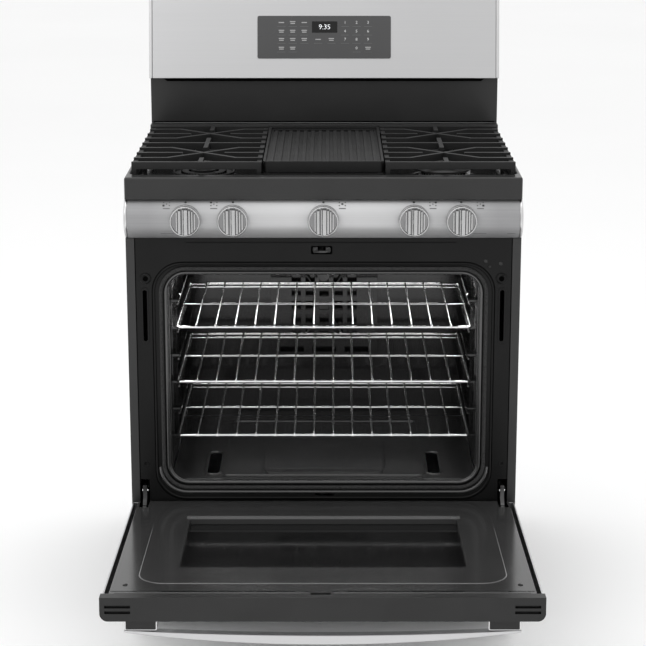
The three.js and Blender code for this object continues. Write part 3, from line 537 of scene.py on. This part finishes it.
# ---------------------------------------------------------------- front frame
def front_frame():
    body = "range_body"
    redrawn("face_frame", "front_frame", 0.7, body, FRAME_ENAMEL)
    beads = [
        wire(round_path((-327.6, 327.6), (273.6, 749), 56, 0.3), 2.6, True),
        wire([(-263, 0.2, 791), (255, 0.2, 791)], 1.1),
    ]
    for side in (-1, 1):
        middle = side * 345
        beads.append(windowed(((middle - 7.5, middle + 7.5), (590, 702), 7.4),
            ((middle - 4, middle + 4), (595, 697), 3.9),
                              (-1.4, 0.4), 0.6))
        beads.append(turned([(5.6, 0.2), (5.6, 2.6), (8.2, 3.4), (10.3, 2.4), (11, 0.2)],
            (side * 343, -0.2, 720),
                            (0, -1, 0)))
        beads.append(turned([(2.4, 0.1), (2.4, 1.2), (4, 1.5), (5, 0.1)], (side * 349, 0, 344), (0, -1, 0),
            28))
    piece("frame_beads", together(*beads), body, FRAME_ENAMEL)
    piece("mouth_lip", together(
        wire(round_path((-305.5, 305.5), (305.5, 731.5), 40, 0.8), 3.8, True, 5),
    ), body, LIP_PAINTED_HIGHLIGHT)
    piece("mouth_rim", wire(round_path((-302.4, 302.4), (308, 729.2), 38, 2.6), 1.7, True, 4), body,
        RIDGE_PAINTED_HIGHLIGHT)
    piece("frame_grooves", together(
        wire(round_path((-331, 331), (270, 752.5), 59, 0.6), 1.0, True),
        *[wire([(side * 362.4, 0.4, 240), (side * 362.4, 0.4, 799)], 1.0) for side in (-1, 1)],
    ), body, DARK)
    piece("frame_boss_holes", together(*[
        rod((side * 343, -2.0, 720), (side * 343, -2.4, 720), 5, 24) for side in (-1, 1)
    ]), body, DARK)
    piece("frame_screws", together(
        screw(312, 0, 754, 3.6), screw(341, 0, 749, 3.8), screw(320, 0, 744, 2.6),
    ), body, DARK_METAL)
    piece("latch_surround", windowed(((-24, 17), (768, 784), 3), ((-20.5, 13.5), (770.6, 781.4), 2),
        (-0.8, 0.4), 0.3),
          body, DARK)
    # painted highlight: a light bead below the mouth where the sill catches light
    piece("mouth_step", wire(
        [p for p in round_path((-321, 321), (286.5, 743), 52, 0.2, 12) if p[2] < 350 and p[0] < 0]
        + [p for p in round_path((-321, 321), (286.5, 743), 52, 0.2, 12) if p[2] < 350 and p[0] > 0], 3.6,
        False, 5),
          body, RIDGE_PAINTED_HIGHLIGHT)
    piece("door_seal", wire(round_path((-314, 314), (296.5, 740.5), 48.5, -4.15), 3.75, True, 4), body,
        ROPE,
          ["door_gasket"])
    redrawn("latch", "latch_hook", 0.5, "latch", HINGE_METAL)
    for name, side in SIDES:
        node = f"hinge_arm_{name}"
        redrawn(f"hinge_{name}", node, 0.8, body, HINGE_METAL)
        piece(f"hinge_rivets_{name}", together(
            rod((side * 353 - 6, -21, 258), (side * 353 + 6, -21, 258), 3.4, 24, 0.6),
            rod((side * 353 - 5.5, 2, 288), (side * 353 + 5.5, 2, 288), 3.2, 24, 0.6),
        ), body, CHROME)


# ---------------------------------------------------------------- oven
def oven():
    body = "range_body"
    for name, side in SIDES:
        node = f"oven_wall_{name}"
        redrawn(f"guide_wall_{name}", node, 1.6, body, OVEN_ENAMEL)
        # painted highlight: light glossy rails along the guide edges and down the walls
        rails = []
        for level in range(6):
            z = 391.2 + 55.25 * level
            rails.append(wire([(side * 283.2, 14, z - 2.2), (side * 283.2, 400, z - 2.2)], 1.5))
        for y in (40, 205, 370):
            rails.append(wire([(side * 302.6, y, 330), (side * 302.6, y, 700)], 2.2))
        piece(f"guide_rails_{name}", together(*rails), body, LIP_PAINTED_HIGHLIGHT)
        piece(f"lamp_{name}", turned(
            [(0, 9), (9, 8.4), (14, 6), (16, 3), (17.5, 2.6), (18.5, 0)], (side * 303, 118, 641),
            (-side, 0, 0), 40,
        ), body, OVEN_ENAMEL)
    redrawn("roof_sheet", "oven_roof", 0.4, body, OVEN_ENAMEL)
    redrawn("back_wall", "oven_back", 0.3, body, OVEN_ENAMEL)
    redrawn("floor_panel", "oven_floor", 0.6, body, FLOOR_PAINTED_REFLECTION)
    ribs = []
    for half, near, far in ((201, 49, 402), (122, 87, 288)):
        ribs.append(wire([(x, y, 303.0) for x, _, y in round_path((-half, half), (near, far), 14)], 2.4,
            True))
    for side in (-1, 1):
        ribs.append(wire([(x, y, 303.1) for x, _,
            y in round_path((side * 222 - 17, side * 222 + 17), (55, 195), 16.9)],
                         2.2, True))
    # painted highlight: two light strips along the front of the oven floor as a sill
    ribs.append(slab((-284, 284), (4, 15), (303, 305.6), 0, "z", 1.2))
    ribs.append(slab((-276, 276), (24, 30), (302.6, 304.6), 0, "z", 0.9))
    piece("floor_ribs", together(*ribs), body, RIDGE_PAINTED_HIGHLIGHT)
    redrawn("cover", "fan_cover", 0.8, body, OVEN_ENAMEL)
    redrawn("fan_wheel", "fan", 0.5, "fan_rotor", FAN_METAL)
    redrawn("top_burner", "broil_burner", 0.6, body, DARK_METAL)


def rack(name, z):
    front, back, half = 25, 382, 287
    parts = [wire([(x, y, z) for x, _, y in round_path((-half, half), (front, back), 7)], 3, True)]
    parts.append(wire([(-half, front + 186, z), (half, front + 186, z)], 2.6))
    parts.append(wire([(-half + 6, back - 24, z - 1), (half - 6, back - 24, z - 1)], 2.2))
    pitch = 2 * half / 15
    for step in range(14):
        x = -half + (step + 1) * pitch
        parts.append(wire([
            (x, front - 3.4, z - 0.6), (x, front - 3.0, z + 2.6), (x, front - 0.5, z + 4.3),
            (x, front + 3, z + 4.6), (x, back + 2, z + 4.6),
        ], 2.0))
    piece(f"{name}_wires", together(*parts), f"{name}_rack", CHROME, [f"rack_{name}"])


# ---------------------------------------------------------------- cooktop
def cooktop():
    body = "range_body"
    rim = windowed(((-378.7, 378.7), (-16, 638), 7), ((-369, 369), (19, 533), 16), (878, 920))
    rim.transform(LAID)
    bmesh.ops.recalc_face_normals(rim, faces=rim.faces)
    high = max(v.co.z for v in rim.verts)
    top_edges = [e for e in sharp(rim, 60) if all(v.co.z > high - 0.01 for v in e.verts)]
    eased(rim, top_edges, 4.5, 4)
    deck = slab((-370, 370), (18, 534), (891.5, 894))
    ledge = slab((-378.7, 378.7), (546, 638), (915, 934), 5, "z", 3)
    piece("cooktop_shell", together(rim, ledge), body, TOP_ENAMEL, ["cooktop"])
    piece("cooktop_deck", deck, body, WELL_ENAMEL)
    wells = []
    for side in (-1, 1):
        for y in (135, 367):
            wells.append(turned([(66, 0), (67.5, 1.1), (70, 1.4), (72.5, 1.1), (74, 0)],
                (side * 236, y, 894), (0, 0, 1), 64))
        wells.append(wire([(side * 118, 24, 894.2), (side * 118, 526, 894.2)], 1.8))
    piece("deck_beads", together(*wells), body, WELL_ENAMEL)


def port_ring(x, y, radius, z, count, stretch=1.0):
    slots = []
    for step in range(count):
        turn = math.tau * step / count
        slot = slab((-1.1, 1.1), (-1.4, 1.4), (-2.6, 2.6))
        slot.transform(Matrix.Translation((x + radius * math.cos(turn),
            y + stretch * radius * math.sin(turn), z))
                       @ Matrix.Rotation(turn, 4, "Z"))
        slots.append(slot)
    return together(*slots)


def burners():
    body = "range_body"
    x, y = -236, 135
    piece("multi_ring_head", turned([
        (0, 894.3), (48, 894.3), (60, 901.5), (61, 904), (61, 906.5), (59.8, 907.4), (57.5, 907), (56, 903),
        (53, 901.5), (46, 901.5), (44.5, 903), (43, 907.2), (41.8, 908), (31, 908), (29.8, 907.2),
        (28.5, 903),
        (26.5, 901.8), (21, 901.8), (19.5, 903), (18, 906), (0, 906),
    ], (x, y, 0), (0, 0, 1), 72), body, IRON, ["burner_left_front"])
    piece("multi_ring_ports", together(port_ring(x, y, 43.6, 904.6, 40), port_ring(x, y, 29.2, 904.6, 24)),
          body, DARK)
    piece("inner_cap", turned([
        (0, 906.3), (17, 906.3), (17.4, 908.5), (26, 908.5), (27, 909.4), (26.6, 911), (24, 912.6),
        (15, 913), (0, 913),
    ], (x, y, 0)), "burner_cap_left_front", CAP_IRON, ["cap_left_front"])
    for name, side, y, base, head, cap_radius, top in (
        ("right_front", 1, 135, 50, 43, 53.5, 908), ("left_rear", -1, 367, 42, 33, 36.5, 910),
        ("right_rear", 1, 367, 42, 33, 36.5, 910),
    ):
        x = side * 236
        piece(f"head_{name}", turned([
            (0, 894.3), (base, 894.3), (base, 896), (base - 2, 897.6), (head + 2, 898.6), (head, 900.5),
            (head, top - 1), (head - 1, top), (0, top),
        ], (x, y, 0)), body, HEAD_METAL, [f"burner_{name}"])
        piece(f"ports_{name}", port_ring(x, y, head, top - 5, 36), body, DARK)
        piece(f"cover_cap_{name}", turned([
            (0, top + 0.3), (cap_radius - 2, top + 0.3), (cap_radius, top + 1.8), (cap_radius, top + 3.6),
            (cap_radius - 2.2, top + 5.8), (cap_radius - 7, top + 7), (cap_radius * 0.5, top + 7.8),
            (0, top + 8),
        ], (x, y, 0)), f"burner_cap_{name}", CAP_IRON, [f"cap_{name}"])
    oval = Matrix.Translation((0, 245, 0)) @ Matrix.Scale(2, 4, (0, 1, 0))
    head = turned([(0, 894.3), (42, 894.3), (42, 896), (38, 897.6), (36, 898), (36, 899.6), (35, 900),
        (0, 900)])
    head.transform(oval)
    piece("head_centre", head, body, HEAD_METAL, ["burner_centre"])
    cap = turned([(0, 900.3), (38.5, 900.3), (39.5, 901.2), (39.2, 902.6), (36, 903.5), (0, 903.5)])
    cap.transform(oval)
    piece("cover_cap_centre", cap, "burner_cap_centre", CAP_IRON, ["cap_centre"])
    for name, side in SIDES:
        piece(f"ignitor_{name}_front", together(
            rod((side * 288, 165, 894), (side * 288, 165, 903), 3.2, 20, 0.6),
            rod((side * 288, 165, 903), (side * 288, 165, 908), 1.2, 12),
        ), body, PALE_PAINTED_GLOW)


def grates():
    for name in ("left", "right", "centre"):
        redrawn(f"{name}_grate_bars", f"grate_{name}", 1.5, f"{name}_grate", IRON)
    redrawn("griddle_slab", "griddle", 1.1, "griddle_plate", GRIDDLE_IRON)


# ---------------------------------------------------------------- front controls
def nose(t):
    return 8 + 24 * (1 - abs(t) ** 2.6)


def on_panel(x, z, lift=0.0):
    """The place and tilt of a mark on the bowed panel."""
    middle, half = 839.25, 37.25
    t = (z - middle) / half
    rise = -(nose(t + 0.01) - nose(t - 0.01)) / (0.02 * half)
    return Matrix.Translation((x, -nose(t) - lift, z)) @ Matrix.Rotation(-math.atan(rise), 4, "X")


def control_panel():
    body = "range_body"
    profile = []
    for step in range(25):
        t = -1 + step / 12
        profile.append((-nose(t), 839.25 + t * 37.25))
    ring = [(0, y, z) for y, z in [(-4, 802)] + profile + [(-4, 876.5)]]
    middle = drawn([(-373, y, z) for _, y, z in ring], (746, 0, 0))
    piece("bowed_panel", middle, body, PANEL_STEEL_PAINTED_SHADE, ["control_panel"], crease=60)
    ends = []
    for side in (-1, 1):
        x = min(side * 372.8, side * 379.5)
        ends.append(drawn([(x, y, z) for _, y, z in ring], (6.7, 0, 0), 2.2, 3))
    piece("panel_ends", together(*ends), body, STEEL_EDGE)
    bezels, marks, faint = [], [], []
    for name, x in KNOBS:
        bezels.append(turned([
            (0, -3), (0, 2.2), (27.6, 2.2), (28.6, 2.0), (29.3, 1.2), (29.5, -3),
        ], (x, -31.8, KNOB_Z), (0, -1, 0), 72))
        dot = turned([(0, 0.7), (1.9, 0.7), (2.3, 0.4), (2.3, -0.4)], (0, 0, 0), (0, -1, 0), 20)
        dot.transform(on_panel(x, 872.3))
        marks.append(dot)
        side = -1 if name.startswith("left") else 1
        icon_x = x + side * 36
        lit = {"left_front": (-1, -1), "left_rear": (-1, 1), "centre": (0, 0),
               "right_rear": (1, 1), "right_front": (1, -1)}[name]
        for column, row in ((-1, -1), (-1, 1), (0, 0), (1, -1), (1, 1)):
            wide = 2.0 if (column, row) == lit else 1.3
            tile = slab((-wide, wide), (-0.3, 0.2), (-wide, wide), wide * 0.5, "y")
            tile.transform(on_panel(icon_x + column * 5.6, 869.6 + row * 2.4))
            (marks if (column, row) == lit else faint).append(tile)
        label = slab((-6.5, 6.5), (-0.2, 0.1), (-1.0, 1.0))
        label.transform(on_panel(icon_x, 862.4))
        faint.append(label)
    for x, wide in ((-297, 13), (297, 13), (358, 8)):
        note = slab((-wide, wide), (-0.2, 0.1), (-0.8, 0.8))
        note.transform(on_panel(x, 813.5))
        faint.append(note)
    piece("bezels", together(*bezels), body, BEZEL_STEEL)
    piece("panel_marks", together(*marks), body, MARK)
    piece("panel_icons", together(*faint), body, PANEL_PRINT)
    redrawn("gas_pipe", "gas_manifold", 0.8, body, ZINC)
    for name, x in KNOBS:
        knob(name, x)
        node = f"valve_stem_{name}"
        redrawn(f"stem_shaft_{name}", node, 0.4, f"stem_{name}", HEAD_METAL)


def knob(name, x):
    back = -38.0
    skirt = turned([
        (0, 0), (27.6, 0), (28.6, 0.7), (29, 2), (29, 7.4), (28.4, 8.4), (27.4, 8.8), (26.2, 8.4),
        (25.6, 7.2),
        (25.2, 5.6), (0, 5.2),
    ], (x, back, KNOB_Z), (0, -1, 0), 80)
    parts = [skirt]
    for offset, wide, reach, depth in (
        (-9.6, 5.0, 22.4, 16.8), (-3.2, 2.4, 24.2, 15.0), (2.2, 7.0, 24.2, 18), (8.9, 3.6, 22.6, 15.8),
        (13.8, 3.2, 20.0, 12.6), (-15.4, 3.0, 18.8, 10.4), (18.6, 3.0, 15.4, 10.4),
    ):
        middle = x + offset
        parts.append(slab((middle - wide / 2, middle + wide / 2), (back - depth, back - 4.5),
                          (KNOB_Z - reach, KNOB_Z + reach), 0, "y", 0.9))
    piece(f"dial_{name}_metal", together(*parts), f"dial_{name}", KNOB_STEEL, [f"knob_{name}"])
    piece(f"dial_{name}_pointer", slab((x - 1.5, x + 1.5), (back - 15.4, back - 14.4), (854.5, 864.6), 1.0,
        "y"),
          f"dial_{name}", MARK)
    # painted shade: a thin darker disc over the knob face around the grip
    piece(f"dial_{name}_shade", turned([
        (0, 5.15), (25.0, 5.3), (25.0, 5.75), (0, 5.6),
    ], (x, back, KNOB_Z), (0, -1, 0), 48), f"dial_{name}", KNOB_PAINTED_SHADE)


# ---------------------------------------------------------------- backguard
def backguard():
    body = "range_body"
    side_view = [(556, 1033), (591, 1200), (638, 1200), (638, 1033)]
    piece("guard_face", drawn([(-372.6, y, z) for y, z in side_view], (745.2, 0, 0), 1.6), body, STEEL,
          ["guard_panel"])
    ends = []
    for side in (-1, 1):
        x = min(side * 372.8, side * 379.5)
        ends.append(drawn([(x, y, z) for y, z in ((554.6, 1032.6), (589.8, 1200), (638.2, 1200),
            (638.2, 1032.6))],
                          (6.7, 0, 0), 2.0, 3))
    piece("guard_ends", together(*ends), body, STEEL_EDGE)
    redrawn("splash", "backsplash", 0.4, body, SPLASH_ENAMEL)
    piece("vent_lip", together(
        drawn([(-348, 559, 1032.6), (348, 559, 1032.6), (341, 559, 1026.5), (-341, 559, 1026.5)],
        (0, 9.5, 0), 0.8),
        wire([(-372, 569.6, 936), (372, 569.6, 936)], 1.6),
    ), body, DARK)
    piece("keypad_plate", slab((-144.5, 144.5), (-3.3, -0.3), (42.9, 134.9), 4, "y", 0.7), body,
        KEYPAD_GLASS,
          ["keypad"], TO_GUARD)
    piece("clock_window", slab((-26.5, 28.5), (-3.62, -3.2), (98.4, 122.8), 1, "y"), body, CLOCK_GLASS,
          place=TO_GUARD)
    piece("clock_time", digit("9:35", 15, 1, 110.4, -3.7, 0.12, 0.02), body, CLOCK_DIGITS, place=TO_GUARD)
    rows = (120.3, 101.6, 83.9, 65.0)
    numbers, words, lines = [], [], []
    for row, keys in enumerate(("123", "456", "789", " 0 ")):
        for column, key in enumerate(keys):
            x = 45.3 + 24.85 * column
            if key != " ":
                numbers.append(digit(key, 8.5, x, rows[row], -3.42, 0.08))
            if key != " " or column == 2:
                lines.append(slab((x - 9, x + 9), (-3.42, -3.2), (rows[row] - 8.6, rows[row] - 8.1)))
    keys = [(x, z) for x in (-92.5, -68.2, -43.1) for z in rows][:-1] + [(-13.2, 83.9), (15.5, 83.9),
        (95.0, 65.0)]
    for x, z in keys:
        tall = 2 if (x, z) not in ((-92.5, rows[0]), (-43.1, rows[0]), (-13.2, 83.9)) else 1
        for bar in range(tall):
            middle = z + (1.9 if tall == 2 else 0) - 3.8 * bar
            words.append(slab((x - 6 + bar, x + 6 - bar), (-3.42, -3.2), (middle - 1.0, middle + 1.0), 0.6,
                "y"))
        lines.append(slab((x - 9, x + 9), (-3.42, -3.2), (z - 8.6, z - 8.1)))
    piece("key_numbers", together(*numbers), body, PALE_PAINTED_GLOW, place=TO_GUARD)
    piece("key_bars", together(*words), body, KEY_WORDS_PAINTED_GLOW, place=TO_GUARD)
    piece("key_lines", together(*lines), body, KEY_FAINT, place=TO_GUARD)


# ---------------------------------------------------------------- door
def door():
    body = "door"
    window = ((-255, 255), (104, 383.5), 6)
    inner = [
        windowed(((-366, 366), (27, 512), 8), window, (0.7, 11.7), 0.8),
        slab((-366, -20.5), (0.7, 11.7), (504, 519), 0, "y", 0.6),
        slab((13.5, 366), (0.7, 11.7), (504, 519), 0, "y", 0.6),
        windowed(((-323, 323), (40, 469), 48), ((-257, 257), (101, 386), 8), (10.5, 12.7), 1.6, 3),
        slab((-343.6, 343.6), (0.7, 11.7), (-13, 27.5), 0, "y", 0.6),
    ]
    for side in (-1, 1):
        inner.append(slab(sorted((side * 362.2, side * 366)), (0.7, 11.7), (-13, 27.5), 0, "y", 0.6))
    piece("door_liner", together(*inner), body, DOOR_ENAMEL, ["door_inner_panel"], TO_DOOR)
    piece("door_ridge", together(
        wire([(321.5, 9.6, 84), *[p for p in round_path((-321.5, 321.5), (42, 467.5), 47, 10.4,
        12) if p[2] > 95],
              (-321.5, 9.6, 84)], 2.4, False, 5),
        wire([(-356, 11.6, 515.5), (-24, 11.6, 515.5)], 0.9),
        wire([(17, 11.6, 515.5), (356, 11.6, 515.5)], 0.9),
        *[slab((a, b), (11.4, 12.5), (509, 510.4)) for a,
        b in ((-318, -276), (-47, -32), (21, 43), (240, 318))],
    ), body, RIDGE_PAINTED_HIGHLIGHT, place=TO_DOOR)
    piece("door_edge_trim", together(*[
        slab(sorted((side * 374.3, side * 377)), (7.9, 9.1), (-14, 518.6), 0, "y", 0.4) for side in (-1, 1)
    ]), body, BAR_STEEL, place=TO_DOOR)
    piece("window_retainer", together(
        slab((-262, 262), (11.4, 14.2), (91, 104.6), 2.5, "y", 0.9),
    ), body, RETAINER_PAINTED_LIGHT, place=TO_DOOR)
    piece("retainer_ends", together(*[
        slab((x - 5, x + 5), (12.8, 14.4), (94, 102), 2, "y", 0.4) for x in (-250, 250)
    ]), body, BEZEL_STEEL, place=TO_DOOR)
    redrawn("window_inner", "door_window_pane", 0.4, body, WINDOW)
    marks = [slab((-20.5, 13.5), (0.9, 1.6), (511, 518.9))]
    for side in (-1, 1):
        marks.append(slab(sorted((side * 362, side * 344)), (0.4, 1.4), (-12.5, 26.5)))
    piece("door_dark_recesses", together(*marks), body, DARK, place=TO_DOOR)
    piece("door_screws", together(*[
        screw(side * 342, 11.7, 475, 4.4, (0, 1, 0)) for side in (-1, 1)
    ]), body, DARK_METAL, place=TO_DOOR)
    redrawn("outer_skin", "door_outer_skin", 0.5, body, STEEL)
    piece("window_outer", slab((-262, 262), (-31.4, -30.2), (118, 402), 10, "y", 0.5), body, WINDOW,
          place=TO_DOOR)
    redrawn("top_cap", "door_top_cap", 1.0, body, CAP_TRIM)
    handle(body)


def bow(x, ends=-59.3, rise=22):
    return ends - rise * (1 - (x / 341) ** 2)


def handle(body):
    steps = 36
    xs = [-341 + 682 * step / steps for step in range(steps + 1)]
    outline = [(x, bow(x), 500) for x in xs] + [(x, bow(x, -54.4, 9.5), 500) for x in reversed(xs)]
    bar = drawn(outline, (0, 0, 18), 1.9, 3)
    posts, inlays = [], []
    for side in (-1, 1):
        a, b = sorted((side * 284, side * 340))
        posts.append(slab((a, b), (-55.4, -30.6), (501, 516.6), 3, "z", 0.8))
        inlays.append(slab((a + 2.2, b - 2.2), (-53.6, -30.8), (516, 517.2), 1.6, "z"))
    piece("handle_bar", bar, body, BAR_STEEL, ["door_handle"], TO_DOOR, crease=60)
    piece("handle_posts", together(*posts), body, STEEL_EDGE, place=TO_DOOR)
    piece("handle_inlays", together(*inlays), body, CAP_TRIM, place=TO_DOOR)


# ---------------------------------------------------------------- drawer
def drawer():
    redrawn("drawer_face", "drawer_front", 1.0, "drawer", STEEL)
    redrawn("drawer_bin", "drawer_tray", 0.4, "drawer", ZINC)


# ---------------------------------------------------------------- studio
def softbox(name, place, aim, size, power, tall=None, seen=True):
    light = bpy.data.lights.new(name, "AREA")
    light.shape = "RECTANGLE"
    light.size = size
    light.size_y = tall or size
    light.energy = power
    holder = bpy.data.objects.new(name, light)
    bpy.context.scene.collection.objects.link(holder)
    holder.location = place
    holder.rotation_euler = (Vector(aim) - Vector(place)).to_track_quat("-Z", "Y").to_euler()
    holder.visible_camera = False
    holder.visible_glossy = seen


def studio():
    scene = bpy.context.scene
    bm = bmesh.new()
    bmesh.ops.create_grid(bm, x_segments=1, y_segments=1, size=60)
    mesh = bpy.data.meshes.new("floor")
    bm.to_mesh(mesh)
    bm.free()
    look = Finish("pale_floor", (0.94, 0.94, 0.94), 0.8)
    look.colour(look.between(look.cloud(0.4), 0.3, 0.7), (0.95, 0.95, 0.95), (0.93, 0.93, 0.93))
    mesh.materials.append(look.made)
    floor = bpy.data.objects.new("floor", mesh)
    scene.collection.objects.link(floor)
    world = bpy.data.worlds.new("studio_air")
    world.use_nodes = True
    world.node_tree.nodes["Background"].inputs["Color"].default_value = (1, 1, 1, 1)
    world.node_tree.nodes["Background"].inputs["Strength"].default_value = 1.0
    scene.world = world
    softbox("key", (-1.8, -2.4, 3.4), (0, 0, 0.7), 2.4, 22)
    softbox("top", (0, 0.5, 3.2), (0, 0, 0.9), 2.4, 22)
    softbox("low_fill", (0, -2.6, 0.35), (0, 0, 0.15), 1.6, 10, 0.4, False)
    softbox("oven_lamp_rear", (0, 0.39, 0.715), (0, 0.0, 0.30), 0.5, 0.42, 0.03)
    for side in (-1, 1):
        softbox(f"oven_lamp_{side}", (side * 0.29, 0.03, 0.66), (0, 0.10, 0.32), 0.05, 0.12)
    camera = bpy.data.cameras.new("camera")
    camera.sensor_width = 36
    camera.lens = 107.26
    camera.shift_x = -0.0101
    camera.shift_y = -0.06
    camera.clip_end = 200
    holder = bpy.data.objects.new("camera", camera)
    scene.collection.objects.link(holder)
    holder.location = (0.01163, -3.64483, 1.58537)
    holder.rotation_euler = (math.pi / 2 - 0.2385, 0, 0)
    scene.camera = holder
    scene.view_settings.view_transform = "Standard"


cabinet()
front_frame()
oven()
for rack_name, rack_height in (("lower", 395), ("middle", 505.5), ("upper", 616)):
    rack(rack_name, rack_height)
cooktop()
burners()
grates()
control_panel()
backguard()
door()
drawer()
studio()
